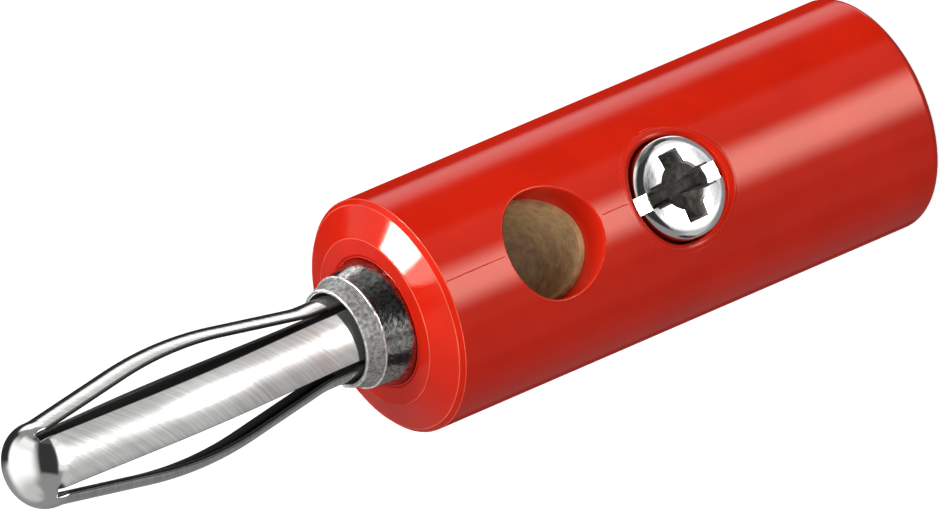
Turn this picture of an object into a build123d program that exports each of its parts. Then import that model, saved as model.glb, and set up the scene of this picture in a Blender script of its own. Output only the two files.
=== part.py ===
"""Banana plug: insulating sleeve, contact insert, four-leaf spring cage and clamp screw.

Millimetres. The plug stands on its flat rear end with the pin up: +Z runs along the
plug's axis, the origin is the centre of the rear face, and the clamp screw looks
towards -Y. Every piece is written to its own STEP file in the folder "parts".
"""
import math
import os

from build123d import *

# Spring cage: one drawn cup, slit four times, its leaves bowed outwards
cage_diameter = 3.58
cage_wall = 0.20
leaf_count = 4
slit_width = 0.467
cage_turn = 8.0  # turn of the leaves about the axis, away from the screw's side
leaf_root_start = 2.85  # height above the sleeve's front
leaf_root_run = 0.60
bow_rise_length = 6.55
bow_fall_length = 6.70
leaf_front_run = 0.25
bow_lift = 0.87  # how far the bow's crown stands out from the cup
bow_root_bend = 4.0
bow_crown_bend = 16.0
bow_front_bend = 1.8
dome_shoulder_bend = 1.30
dome_crown_angle = 40.8  # degrees from the axis where the dome's two bends meet
slit_root = 0.60  # height of the slits' ends above the hollow's floor
slit_into_dome = 0.40

# Contact insert: one turned brass piece, from the wire bore to the staked collar
nose_hollow_clearance = 0.17  # gap around the cage inside the nose
nose_hollow_depth = 1.5
nose_rim_width = 0.16
nose_length = 0.72
nose_slope_width = 0.22  # from the nose's rim out to the collar's edge
collar_edge_bevel = 0.05
collar_length = 1.3  # how far the collar stands out of the sleeve
collar_taper_width = 0.30  # how much wider the collar gets on its way to the sleeve
insert_shoulder_width = 0.61  # step from the collar out to the insert's body
insert_length = 18.0  # from its rear face to the shoulder
insert_edge_bevel = 0.25
cage_seat_depth = 3.1  # length of the press seat below the hollow

# Sleeve: a moulded tube with a shallow cone at the front
sleeve_length = 25.4
sleeve_wall = 1.65
insert_clearance = 0.05  # between the insert's body and the sleeve's bore
sleeve_front_wall = 1.4  # thickness of the front wall that the insert seats against
sleeve_rear_round = 0.35
front_cone_start = 0.75  # length taken up by the front edge and the cone
front_ring_width = 0.75  # flat ring between the cone and the opening
front_edge_bevel = 0.20
front_opening_clearance = 0.10
opening_round = 0.10
cable_entry_step = 0.30  # how much wider the cable entry is than the insert's seat
cable_entry_gap = 0.40  # from the end of the cable entry to the insert
rear_mouth_bevel = 0.4
cross_hole_round = 0.07
head_hole_round = 0.20

# Cross hole that takes a second plug, and the wire bore
cross_hole_setback = 6.27  # from the sleeve's front to the hole's axis
cross_hole_diameter = 4.15
sleeve_cross_hole_clearance = 0.22
wire_bore_diameter = 3.2
wire_bore_web = 0.5  # brass left between the wire bore's point and the cross hole
wire_mouth_bevel = 0.45
drill_point_angle = 118.0

# Clamp screw
screw_spacing = 6.51  # from the cross hole's axis to the screw's axis
screw_diameter = 3.0
screw_running_clearance = 0.05
screw_tip_distance = 0.30  # from the plug's axis
screw_tip_bevel = 0.35
head_diameter = 4.30
head_hole_clearance = 0.22
head_rim_sink = 0.15  # how far the head's rim lies inside the sleeve's surface
head_side_height = 1.05
head_dome_height = 0.46
head_rim_round = 0.12
head_slot_width = 0.72
head_slot_depth = 0.21  # below the head's rim
cross_recess_span = 3.15
cross_recess_width = 0.98
cross_recess_depth = 1.25  # below the top of the dome
cross_recess_taper = 16.0
cross_recess_core = 1.75  # diameter of the cone where the wings meet
cross_recess_point = 0.6
head_turn = 2.5  # degrees that the slot is turned away from the plug's axis

# Radii that follow from the sizes above, from the cage outwards
cage_radius = cage_diameter / 2
cage_inner_radius = cage_radius - cage_wall
bow_crown_radius = cage_radius + bow_lift
hollow_radius = cage_radius + nose_hollow_clearance
nose_radius = hollow_radius + nose_rim_width
collar_front_radius = nose_radius + nose_slope_width + collar_edge_bevel
collar_radius = collar_front_radius + collar_taper_width
insert_radius = collar_radius + insert_shoulder_width
front_opening_radius = collar_radius + front_opening_clearance
front_cone_lip = front_opening_radius + front_ring_width
sleeve_bore_radius = insert_radius + insert_clearance
cable_entry_radius = sleeve_bore_radius + cable_entry_step
sleeve_radius = sleeve_bore_radius + sleeve_wall
cross_hole_radius = cross_hole_diameter / 2
sleeve_cross_hole_radius = cross_hole_radius + sleeve_cross_hole_clearance
wire_bore_radius = wire_bore_diameter / 2
screw_radius = screw_diameter / 2
screw_hole_radius = screw_radius + screw_running_clearance
head_radius = head_diameter / 2
head_hole_radius = head_radius + head_hole_clearance
head_rim_distance = sleeve_radius - head_rim_sink
head_crown_distance = head_rim_distance + head_dome_height

# Heights that follow, from the sleeve's front to either end
shoulder_height = sleeve_length - sleeve_front_wall
insert_rear = shoulder_height - insert_length
cable_entry_end = insert_rear - cable_entry_gap
cross_hole_height = sleeve_length - cross_hole_setback
screw_height = cross_hole_height - screw_spacing
wire_bore_point = wire_bore_radius / math.tan(math.radians(drill_point_angle / 2))
wire_bore_end = cross_hole_height - cross_hole_radius - wire_bore_web - wire_bore_point
nose_height = sleeve_length + collar_length + nose_length
hollow_floor = nose_height - nose_hollow_depth
cage_seat = hollow_floor - cage_seat_depth
leaf_root_height = sleeve_length + leaf_root_start
bow_start_height = leaf_root_height + leaf_root_run
bow_crown_height = bow_start_height + bow_rise_length
bow_end_height = bow_crown_height + bow_fall_length
dome_base = bow_end_height + leaf_front_run
slit_start = hollow_floor + slit_root
slit_end = dome_base + slit_into_dome


def revolved(points):
    """Solid of revolution about the plug's axis from (radius, height) points."""
    outline = Polyline(*points, close=True)
    return revolve(Plane.XZ * make_face(outline), axis=Axis.Z)


def cross_cylinder(radius, height, start, end):
    """Cylinder across the plug at a height, from Y=start to Y=end."""
    middle = (start + end) / 2
    spot = Pos(0, middle, height) * Rot(90, 0, 0)
    return spot * Cylinder(radius, abs(end - start))


def hole_rims(shell, height):
    """Edges that the hole at a height leaves in the sleeve's outer surface."""
    return shell.edges().filter_by(
        lambda edge: edge.geom_type != GeomType.CIRCLE
        and abs(edge.center().Z - height) < screw_spacing / 2
        and math.hypot((edge @ 0.3).X, (edge @ 0.3).Y) > sleeve_radius - 0.01
    )


def make_sleeve():
    """Moulded sleeve with the cross hole and the screw's hole."""
    cone_base = sleeve_length - front_cone_start + front_edge_bevel
    shell = revolved([
        (front_opening_radius, shoulder_height),
        (sleeve_bore_radius, shoulder_height),
        (sleeve_bore_radius, cable_entry_end),
        (cable_entry_radius, cable_entry_end),
        (cable_entry_radius, rear_mouth_bevel),
        (cable_entry_radius + rear_mouth_bevel, 0),
        (sleeve_radius, 0),
        (sleeve_radius, sleeve_length - front_cone_start),
        (sleeve_radius - front_edge_bevel, cone_base),
        (front_cone_lip, sleeve_length),
        (front_opening_radius, sleeve_length),
    ])
    rear_rim = shell.edges().filter_by(GeomType.CIRCLE).filter_by(
        lambda edge: abs(edge.radius - sleeve_radius) < 0.001 and edge.center().Z < 0.001
    )
    shell = fillet(rear_rim, sleeve_rear_round)
    mouth_rim = shell.edges().filter_by(GeomType.CIRCLE).filter_by(
        lambda edge: abs(edge.radius - front_opening_radius) < 0.001
        and abs(edge.center().Z - sleeve_length) < 0.001
    )
    shell = fillet(mouth_rim, opening_round)
    past_wall = 2 * sleeve_radius
    shell -= cross_cylinder(sleeve_cross_hole_radius, cross_hole_height, -past_wall, past_wall)
    shell -= cross_cylinder(head_hole_radius, screw_height, -past_wall, 0)
    shell = fillet(hole_rims(shell, cross_hole_height), cross_hole_round)
    return fillet(hole_rims(shell, screw_height), head_hole_round)


def make_insert():
    """Turned contact insert with its collar, bores and threaded screw hole."""
    collar_top = sleeve_length + collar_length
    past_wall = 2 * insert_radius
    insert = revolved([
        (0, wire_bore_end + wire_bore_point),
        (wire_bore_radius, wire_bore_end),
        (wire_bore_radius, insert_rear + wire_mouth_bevel),
        (wire_bore_radius + wire_mouth_bevel, insert_rear),
        (insert_radius - insert_edge_bevel, insert_rear),
        (insert_radius, insert_rear + insert_edge_bevel),
        (insert_radius, shoulder_height),
        (collar_radius, shoulder_height),
        (collar_radius, sleeve_length),
        (collar_front_radius, collar_top - collar_edge_bevel),
        (collar_front_radius - collar_edge_bevel, collar_top),
        (nose_radius, nose_height),
        (hollow_radius, nose_height),
        (hollow_radius, hollow_floor),
        (cage_radius, hollow_floor),
        (cage_radius, cage_seat),
        (0, cage_seat),
    ])
    insert -= cross_cylinder(cross_hole_radius, cross_hole_height, -past_wall, past_wall)
    insert -= cross_cylinder(screw_hole_radius, screw_height, -past_wall, 0)
    return insert


def make_clamp_screw():
    """Clamp screw with a domed head, a straight slot and a cross recess."""
    underside = head_rim_distance - head_side_height
    dome_bend = (head_radius**2 + head_dome_height**2) / (2 * head_dome_height)
    dome_centre = head_crown_distance - dome_bend
    halfway = head_radius / 2
    head_edge = (head_radius, head_rim_distance)
    dome_middle = (halfway, dome_centre + math.sqrt(dome_bend**2 - halfway**2))
    outline = Polyline(
        (0, head_crown_distance),
        (0, screw_tip_distance),
        (screw_radius - screw_tip_bevel, screw_tip_distance),
        (screw_radius, screw_tip_distance + screw_tip_bevel),
        (screw_radius, underside),
        (head_radius, underside),
        head_edge,
    ) + ThreePointArc(head_edge, dome_middle, (0, head_crown_distance))
    screw = revolve(Plane.XZ * make_face(outline), axis=Axis.Z)
    head_rims = screw.edges().filter_by(GeomType.CIRCLE).filter_by(
        lambda edge: abs(edge.radius - head_radius) < 0.001
    )
    screw = fillet(head_rims, head_rim_round)
    screw = screw - driver_slot() - cross_recess()
    seat = Pos(0, 0, screw_height) * Rot(90, 0, 0)
    return seat * Rot(0, 0, 90 + head_turn) * screw


def driver_slot():
    """Straight slot across the head, open at both ends."""
    height = head_slot_depth + head_dome_height
    middle = head_crown_distance - height / 2
    return Pos(0, 0, middle) * Box(2 * head_diameter, head_slot_width, height)


def cross_recess():
    """Two crossed tapered wings and the pointed cone where they meet."""
    top = Pos(0, 0, head_crown_distance)
    wing = extrude(
        top * Rectangle(cross_recess_span, cross_recess_width),
        amount=cross_recess_depth,
        dir=(0, 0, -1),
        taper=cross_recess_taper,
    )
    core_radius = cross_recess_core / 2
    core = top * Pos(0, 0, -cross_recess_depth / 2) * Cone(
        cross_recess_point / 2, core_radius, cross_recess_depth
    )
    return wing + Rot(0, 0, 90) * wing + core


def bow_corner_radius():
    """Radius of the sharp corner whose bend just reaches the bow's crown."""
    corner = bow_crown_radius
    for _ in range(40):
        lift = corner - cage_radius
        turn = math.atan(lift / bow_rise_length) + math.atan(lift / bow_fall_length)
        corner = bow_crown_radius + bow_crown_bend * (1 / math.cos(turn / 2) - 1)
    return corner


def leaf_path():
    """Line that the middle of a leaf's outer face follows, in the XZ plane."""
    return FilletPolyline(
        (cage_radius, 0, leaf_root_height),
        (cage_radius, 0, bow_start_height),
        (bow_corner_radius(), 0, bow_crown_height),
        (cage_radius, 0, bow_end_height),
        (cage_radius, 0, dome_base),
        radius=(bow_root_bend, bow_crown_bend, bow_front_bend),
    )


def dome_arcs(inset):
    """Shoulder and crown arcs of the dome, moved inwards by inset, and their top's height."""
    shoulder_middle = cage_radius - dome_shoulder_bend
    meeting = math.radians(dome_crown_angle)
    crown_middle = dome_base - shoulder_middle / math.tan(meeting)
    shoulder_bend = dome_shoulder_bend - inset
    crown_bend = dome_shoulder_bend + shoulder_middle / math.sin(meeting) - inset

    def on_shoulder(angle):
        return (
            shoulder_middle + shoulder_bend * math.sin(angle),
            dome_base + shoulder_bend * math.cos(angle),
        )

    def on_crown(angle):
        return (crown_bend * math.sin(angle), crown_middle + crown_bend * math.cos(angle))

    halfway = (meeting + math.pi / 2) / 2
    shoulder = ThreePointArc(
        on_shoulder(math.pi / 2), on_shoulder(halfway), on_shoulder(meeting)
    )
    crown = ThreePointArc(on_crown(meeting), on_crown(meeting / 2), on_crown(0))
    return shoulder + crown, crown_middle + crown_bend


def make_cup():
    """Drawn cup with a domed end, before it is slit."""
    outer_dome, outer_top = dome_arcs(0)
    inner_dome, inner_top = dome_arcs(cage_wall)
    wall_outline = (
        Line((cage_inner_radius, cage_seat), (cage_radius, cage_seat))
        + Line((cage_radius, cage_seat), (cage_radius, dome_base))
        + outer_dome
        + Line((0, outer_top), (0, inner_top))
        + inner_dome
        + Line((cage_inner_radius, dome_base), (cage_inner_radius, cage_seat))
    )
    return revolve(Plane.XZ * make_face(wall_outline), axis=Axis.Z)


def make_spring_cage():
    """One-piece spring: press-fit root ring, bowed leaves and the domed tip."""
    leaf_pitch = 360 / leaf_count
    slit_length = slit_end - slit_start
    slit = Pos(cage_radius, 0, (slit_start + slit_end) / 2) * Box(
        cage_diameter, slit_width, slit_length
    )
    section = Circle(cage_radius) - Circle(cage_inner_radius)
    cage = make_cup()
    for number in range(leaf_count):
        between_leaves = Rot(0, 0, leaf_pitch * (number + 0.5))
        cage -= between_leaves * slit
        section -= between_leaves * Pos(cage_radius, 0) * Rectangle(cage_diameter, slit_width)
    straight_part = Cylinder(cage_diameter, dome_base - leaf_root_height)
    cage -= Pos(0, 0, (leaf_root_height + dome_base) / 2) * straight_part
    leaf_section = Pos(0, 0, leaf_root_height) * section.faces().sort_by(Axis.X)[-1]
    leaf = sweep(leaf_section, path=leaf_path())
    for number in range(leaf_count):
        cage += Rot(0, 0, leaf_pitch * number) * leaf
    return Rot(0, 0, -cage_turn) * cage


nodes = {
    "insulating_sleeve": make_sleeve(),
    "contact_insert": make_insert(),
    "spring_cage": make_spring_cage(),
    "clamp_screw": make_clamp_screw(),
}

os.makedirs("parts", exist_ok=True)
for name, shape in nodes.items():
    solid = shape.solids()[0]
    solid.label = name
    box = solid.bounding_box()
    print(name, "solids", len(shape.solids()), "volume", round(solid.volume, 3))
    print("  from", box.min, "to", box.max)
    export_step(solid, "parts/" + name + ".step")
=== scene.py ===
"""Looks, studio and camera for the banana plug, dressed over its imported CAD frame.

Lengths are in metres and in the row frame: the plug stands on its rear end, +Z runs
towards the tip of the pin, and the clamp screw looks towards -Y.
"""

import logging
import math
from dataclasses import dataclass, field
from enum import Enum
from typing import Any

import bmesh
import bpy
from mathutils import Matrix, Vector

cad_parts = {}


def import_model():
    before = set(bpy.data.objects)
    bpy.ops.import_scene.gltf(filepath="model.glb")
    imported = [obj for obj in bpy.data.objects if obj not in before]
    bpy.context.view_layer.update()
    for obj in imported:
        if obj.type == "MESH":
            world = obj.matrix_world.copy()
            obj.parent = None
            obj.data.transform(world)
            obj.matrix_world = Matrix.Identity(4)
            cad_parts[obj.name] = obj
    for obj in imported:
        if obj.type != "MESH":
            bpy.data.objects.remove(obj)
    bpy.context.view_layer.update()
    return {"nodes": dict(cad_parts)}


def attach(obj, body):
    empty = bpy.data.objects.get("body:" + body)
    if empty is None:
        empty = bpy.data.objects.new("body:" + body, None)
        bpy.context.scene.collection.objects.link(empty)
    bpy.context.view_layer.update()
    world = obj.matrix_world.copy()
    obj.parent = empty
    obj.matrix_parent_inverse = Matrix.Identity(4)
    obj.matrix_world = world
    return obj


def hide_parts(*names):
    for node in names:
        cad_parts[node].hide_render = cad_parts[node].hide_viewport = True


MM = 0.001
CORNER_POINTS = 24
SHARP_ANGLE = math.radians(45.0)
RING_POINTS = 180
BEAD_SIDES = 10
LUMPS_PER_METRE = 2400.0
LOG = logging.getLogger("banana_plug")

Colour = tuple[float, float, float]
Direction = tuple[float, float, float]
Point = tuple[float, float]
Chain = list[tuple[Vector, float]]
Nodes = dict[str, bpy.types.Object]
Socket = bpy.types.NodeSocket


class Slot(Enum):
    """Material slots that the record names."""

    SLEEVE = "red_plastic"
    INSERT = "plated_insert"
    SPRING = "plated_spring"
    SCREW = "plated_steel"


class Rides(Enum):
    """Bodies of the frame that a piece can move with."""

    PLUG = "body"
    SCREW = "screw"


class NodeBench:
    """Places and joins the nodes of one tree."""

    def __init__(self, tree: bpy.types.NodeTree) -> None:
        """Empties the tree and keeps it.

        Args:
            tree: The node tree to work in.
        """
        self.tree = tree
        tree.nodes.clear()

    def add(self, kind: str, inputs: dict[Any, Any] | None = None, **settings: Any) -> bpy.types.Node:
        """Adds a node, sets its properties and fills or joins its inputs.

        Args:
            kind: The node's type name.
            inputs: Values, or output sockets of other nodes, by input name or number.
            settings: Properties of the node itself.

        Returns:
            The new node.
        """
        node = self.tree.nodes.new(kind)
        for name, value in settings.items():
            setattr(node, name, value)
        for key, value in (inputs or {}).items():
            if isinstance(value, Socket):
                self.tree.links.new(value, node.inputs[key])
            else:
                node.inputs[key].default_value = value
        return node

    def ramp(self, factor: Socket, stops: list[tuple[float, Colour]]) -> Socket:
        """Adds a colour ramp over a factor.

        Args:
            factor: The socket that drives the ramp.
            stops: Positions and their colours, in order.

        Returns:
            The ramp's colour output.
        """
        node = self.add("ShaderNodeValToRGB", {"Fac": factor})
        elements = node.color_ramp.elements
        while len(elements) < len(stops):
            elements.new(0.5)
        for element, (place, colour) in zip(elements, stops):
            element.position = place
            element.color = (*colour, 1.0)
        return node.outputs["Color"]

    def math(self, operation: str, first: Any, second: Any = 0.0, clamp: bool = False) -> Socket:
        """The result of a Math node, kept between 0 and 1 if clamped."""
        node = self.add("ShaderNodeMath", {0: first, 1: second}, operation=operation, use_clamp=clamp)
        return node.outputs[0]

    def noise(self, place: Socket, scale: float, detail: float = 3.0, roughness: float = 0.5) -> Socket:
        """A noise factor at a place: cells per unit, octaves, and the weight of the finer ones."""
        values = {"Vector": place, "Scale": scale, "Detail": detail, "Roughness": roughness}
        return self.add("ShaderNodeTexNoise", values).outputs["Fac"]

    def between(self, value: Socket, source: Point, target: Point, smooth: bool = False) -> Socket:
        """A value carried from one range over to another, and kept inside it."""
        ends = dict(zip(("From Min", "From Max", "To Min", "To Max"), (*source, *target)))
        kind = "SMOOTHSTEP" if smooth else "LINEAR"
        return self.add("ShaderNodeMapRange", {"Value": value, **ends}, interpolation_type=kind).outputs["Result"]

    def blend(self, factor: Socket, first: Any, second: Any,
              kind: str = "RGBA") -> Socket:
        """Mixes two colours or two numbers.

        Args:
            factor: Share of the second.
            first: Colour, number or socket at factor 0.
            second: Colour, number or socket at factor 1.
            kind: "RGBA" or "FLOAT".

        Returns:
            The result's socket.
        """
        base = 6 if kind == "RGBA" else 2
        node = self.add("ShaderNodeMix", {0: factor, base: first, base + 1: second}, data_type=kind)
        return node.outputs[2 if kind == "RGBA" else 0]

    def surface(self, inputs: dict[str, Any]) -> None:
        """Ends a material in a Principled shader with these inputs."""
        shader = self.add("ShaderNodeBsdfPrincipled", inputs)
        self.add("ShaderNodeOutputMaterial", {"Surface": shader.outputs["BSDF"]})

    def stretched(self, scale: Direction) -> Socket:
        """Object coordinates with a factor for each axis."""
        place = self.add("ShaderNodeTexCoord").outputs["Object"]
        return self.add("ShaderNodeMapping", {"Vector": place, "Scale": scale}).outputs["Vector"]

    def millimetres(self) -> Socket:
        """Object coordinates in millimetres."""
        per_metre = 1 / MM
        return self.stretched((per_metre, per_metre, per_metre))

    def step(self, value: Socket, edge: float, half_width: float, ends: Point = (0.0, 1.0)) -> Socket:
        """One end's value below the edge, the other's above it, and a short slope between."""
        return self.between(value, (edge - half_width, edge + half_width), ends)

    def split(self, vector: Socket) -> bpy.types.bpy_prop_collection:
        """The vector's X, Y and Z."""
        return self.add("ShaderNodeSeparateXYZ", {0: vector}).outputs

    def rest(self, share: Socket) -> Socket:
        """What the share leaves of 1."""
        return self.math("SUBTRACT", 1.0, share)

    def facing(self) -> Socket:
        """How far a face turns from the viewer, for gloss: 0 square on, 1 at the rim."""
        return self.add("ShaderNodeLayerWeight", {"Blend": 0.5}).outputs["Facing"]

    def bump(self, height: Socket, strength: float, distance: float) -> Socket:
        """Normals bent by a height field whose full step is the distance in metres."""
        values = {"Height": height, "Strength": strength, "Distance": distance}
        return self.add("ShaderNodeBump", values).outputs["Normal"]


def into_scene(name: str, data: Any) -> bpy.types.Object:
    """Makes an object of a mesh, lamp or camera and links it into the scene."""
    thing = bpy.data.objects.new(name, data)
    bpy.context.scene.collection.objects.link(thing)
    return thing


def baked_mesh(thing: bpy.types.Object) -> bpy.types.Mesh:
    """The object's mesh with its modifiers applied."""
    bpy.context.view_layer.update()
    return bpy.data.meshes.new_from_object(thing.evaluated_get(bpy.context.evaluated_depsgraph_get()))


def new_material(name: str) -> tuple[bpy.types.Material, NodeBench]:
    """Makes an empty node material.

    Args:
        name: The material's name.

    Returns:
        The material and a bench on its tree.
    """
    material = bpy.data.materials.new(name)
    material.use_nodes = True
    return material, NodeBench(material.node_tree)


class GeometryBench(NodeBench):
    """Bench on a geometry tree whose sizes are named inputs."""

    def __init__(self, name: str) -> None:
        """Starts a tree with a geometry input and a geometry output.

        Args:
            name: The tree's name.
        """
        super().__init__(bpy.data.node_groups.new(name, "GeometryNodeTree"))
        self.identifiers: dict[str, str] = {}
        self.tree.interface.new_socket("Geometry", in_out="INPUT", socket_type="NodeSocketGeometry")
        self.tree.interface.new_socket("Geometry", in_out="OUTPUT", socket_type="NodeSocketGeometry")
        self.entry = self.tree.nodes.new("NodeGroupInput")

    def named(self, name: str, kind: str = "NodeSocketFloat") -> Socket:
        """Adds a named input to the tree.

        Args:
            name: The input's name.
            kind: Its socket type.

        Returns:
            The socket inside the tree.
        """
        item = self.tree.interface.new_socket(name, in_out="INPUT", socket_type=kind)
        self.identifiers[name] = item.identifier
        return self.entry.outputs[name]

    def route(self) -> Socket:
        """The incoming chains of edges as curves, their corners rounded by the attribute bend.

        Returns:
            The curves' socket.
        """
        chain = self.add("GeometryNodeMeshToCurve", {"Mesh": self.entry.outputs["Geometry"]})
        bend = self.add("GeometryNodeInputNamedAttribute", {"Name": "bend"}, data_type="FLOAT")
        rounded = self.add("GeometryNodeFilletCurve", {
            "Curve": chain.outputs[0], "Count": CORNER_POINTS, "Radius": bend.outputs["Attribute"],
        }, mode="POLY")
        return rounded.outputs[0]

    def sheet(self, columns: Socket, rows: Socket) -> tuple[Socket, Socket, Socket, Socket]:
        """A grid to wrap round an axis: X runs once around, Y along the incoming route.

        Args:
            columns: Number of faces around.
            rows: Number of points along.

        Returns:
            The grid, the angle around, and the route's X and Z at each point.
        """
        grid = self.add("GeometryNodeMeshGrid", {
            "Size X": 1.0, "Size Y": 1.0, "Vertices X": self.math("ADD", columns, 1.0), "Vertices Y": rows,
        })
        place = self.split(self.add("GeometryNodeInputPosition").outputs[0])
        around = self.math("MULTIPLY", self.math("ADD", place["X"], 0.5), math.tau)
        along = self.math("ADD", place["Y"], 0.5)
        spot = self.add("GeometryNodeSampleCurve", {"Curves": self.route(), "Factor": along}, mode="FACTOR")
        section = self.split(spot.outputs["Position"])
        return grid.outputs["Mesh"], around, section["X"], section["Z"]

    def finish_sheet(self, grid: Socket, target: dict[str, Socket], gap: float) -> None:
        """Carries the grid's points to their places, closes its seam and ends the tree.

        Args:
            grid: The grid.
            target: Each point's X, Y and Z.
            gap: Points nearer than this become one, in metres.
        """
        place = self.add("ShaderNodeCombineXYZ", target)
        carried = self.add("GeometryNodeSetPosition", {"Geometry": grid, "Position": place.outputs[0]})
        closed = self.add("GeometryNodeMergeByDistance", {"Geometry": carried.outputs[0], "Distance": gap})
        self.finish(closed.outputs[0])

    def finish(self, geometry: Socket) -> None:
        """Realizes, shades and dresses the result and ends the tree.

        Args:
            geometry: The finished geometry's socket.
        """
        plain_mesh = self.add("GeometryNodeRealizeInstances", {"Geometry": geometry})
        smooth = self.add("GeometryNodeSetShadeSmooth", {"Geometry": plain_mesh.outputs[0]})
        dressed = self.add("GeometryNodeSetMaterial", {
            "Geometry": smooth.outputs[0], "Material": self.named("Material", "NodeSocketMaterial"),
        })
        self.add("NodeGroupOutput", {"Geometry": dressed.outputs[0]})

    def grow(self, name: str, host: bpy.types.Mesh, values: dict[str, Any],
             solidify: float = 0.0, bevel: float = 0.0) -> bpy.types.Object:
        """Runs the tree on a host mesh and keeps the result as a plain mesh.

        Args:
            name: The new piece's name.
            host: The mesh that enters the tree.
            values: Values of the named inputs.
            solidify: Wall thickness grown inwards, in metres, or 0.
            bevel: Width of the rounding on sharp edges, in metres, or 0.

        Returns:
            The piece, in the scene and with no modifier left.
        """
        grower = into_scene(name + "_grower", host)
        modifier = grower.modifiers.new("rule", "NODES")
        modifier.node_group = self.tree
        for key, value in values.items():
            modifier[self.identifiers[key]] = value
        if solidify:
            wall = grower.modifiers.new("wall", "SOLIDIFY")
            wall.thickness = solidify
            wall.offset = -1.0
            wall.use_even_offset = True
        if bevel:
            rounding = grower.modifiers.new("rounding", "BEVEL")
            rounding.width = bevel
            rounding.segments = 2
            rounding.limit_method = "ANGLE"
            rounding.angle_limit = SHARP_ANGLE
            rounding.harden_normals = True
        mesh = baked_mesh(grower)
        mesh.name = name
        bpy.data.objects.remove(grower)
        return place_mesh(name, mesh)


def place_mesh(name: str, mesh: bpy.types.Mesh) -> bpy.types.Object:
    """Turns a closed mesh's faces outwards and puts it into the scene.

    Args:
        name: The piece's name.
        mesh: Its finished mesh.

    Returns:
        The piece.
    """
    work = bmesh.new()
    work.from_mesh(mesh)
    bmesh.ops.recalc_face_normals(work, faces=work.faces)
    work.to_mesh(mesh)
    work.free()
    return into_scene(name, mesh)


def chain_mesh(name: str, chains: list[Chain], closed: bool = False) -> bpy.types.Mesh:
    """Makes chains of edges whose points carry a bend radius.

    Args:
        name: The mesh's name.
        chains: Each chain's points, in metres, with the bend radius at each.
        closed: Whether each chain ends where it starts.

    Returns:
        The mesh.
    """
    points: list[Vector] = []
    bends: list[float] = []
    edges: list[tuple[int, int]] = []
    for chain in chains:
        first = len(points)
        points += [point for point, _ in chain]
        bends += [bend for _, bend in chain]
        edges += [(number, number + 1) for number in range(first, len(points) - 1)]
        if closed:
            edges.append((len(points) - 1, first))
    mesh = bpy.data.meshes.new(name)
    mesh.from_pydata(points, edges, [])
    mesh.attributes.new("bend", "FLOAT", "POINT").data.foreach_set("value", bends)
    return mesh


@dataclass(frozen=True)
class MouldedRed:
    """Glossy red moulded plastic with a faint ripple and fine specks.

    Scales are in cells per millimetre, face_from in millimetres and ripple_height in metres.
    """

    name: str = "moulded_red"
    colour: Colour = (0.60, 0.0155, 0.0040)
    deep_colour: Colour = (0.55, 0.0130, 0.0034)
    roughness: float = 0.09
    ripple_height: float = 0.00001
    mirror_tint: Colour = (1.0, 0.76, 0.62)
    edge_gloss: float = 0.002
    edge_span: Point = (0.58, 0.82)
    face_from: float = 25.34
    face_gloss: float = 0.35
    index: float = 1.30
    drift_scale: float = 0.35
    ripple_scale: float = 1.1
    speck_scale: float = 9.0
    speck_share: float = 0.12
    relief_strength: float = 0.35
    drift_span: Point = (0.35, 0.65)
    gloss_spread: Point = (0.02, 0.04)
    face_blend: float = 0.04

    def build(self) -> bpy.types.Material:
        """Builds the material.

        Returns:
            The finished material.
        """
        material, bench = new_material(self.name)
        even = bench.millimetres()
        drift = bench.noise(even, self.drift_scale, 2.0)
        colour = bench.ramp(drift, list(zip(self.drift_span, (self.deep_colour, self.colour))))
        ripple = bench.noise(even, self.ripple_scale, 2.0, 0.45)
        specks = bench.noise(even, self.speck_scale, 3.0, 0.6)
        relief = bench.math("ADD", ripple, bench.math("MULTIPLY", specks, self.speck_share))
        bump = bench.bump(relief, self.relief_strength, self.ripple_height)
        smoother, rougher = self.gloss_spread
        gloss = bench.between(specks, (0.3, 0.7), (self.roughness - smoother, self.roughness + rougher))
        level = bench.between(bench.facing(), self.edge_span, (0.5, self.edge_gloss))
        height = bench.split(even)["Z"]
        face = bench.between(height, (self.face_from, self.face_from + self.face_blend), (1.0, self.face_gloss))
        bench.surface({
            "Base Color": colour,
            "Roughness": gloss,
            "IOR": self.index,
            "Specular IOR Level": bench.math("MULTIPLY", level, face),
            "Specular Tint": (*self.mirror_tint, 1.0),
            "Normal": bump,
        })
        return material


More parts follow.
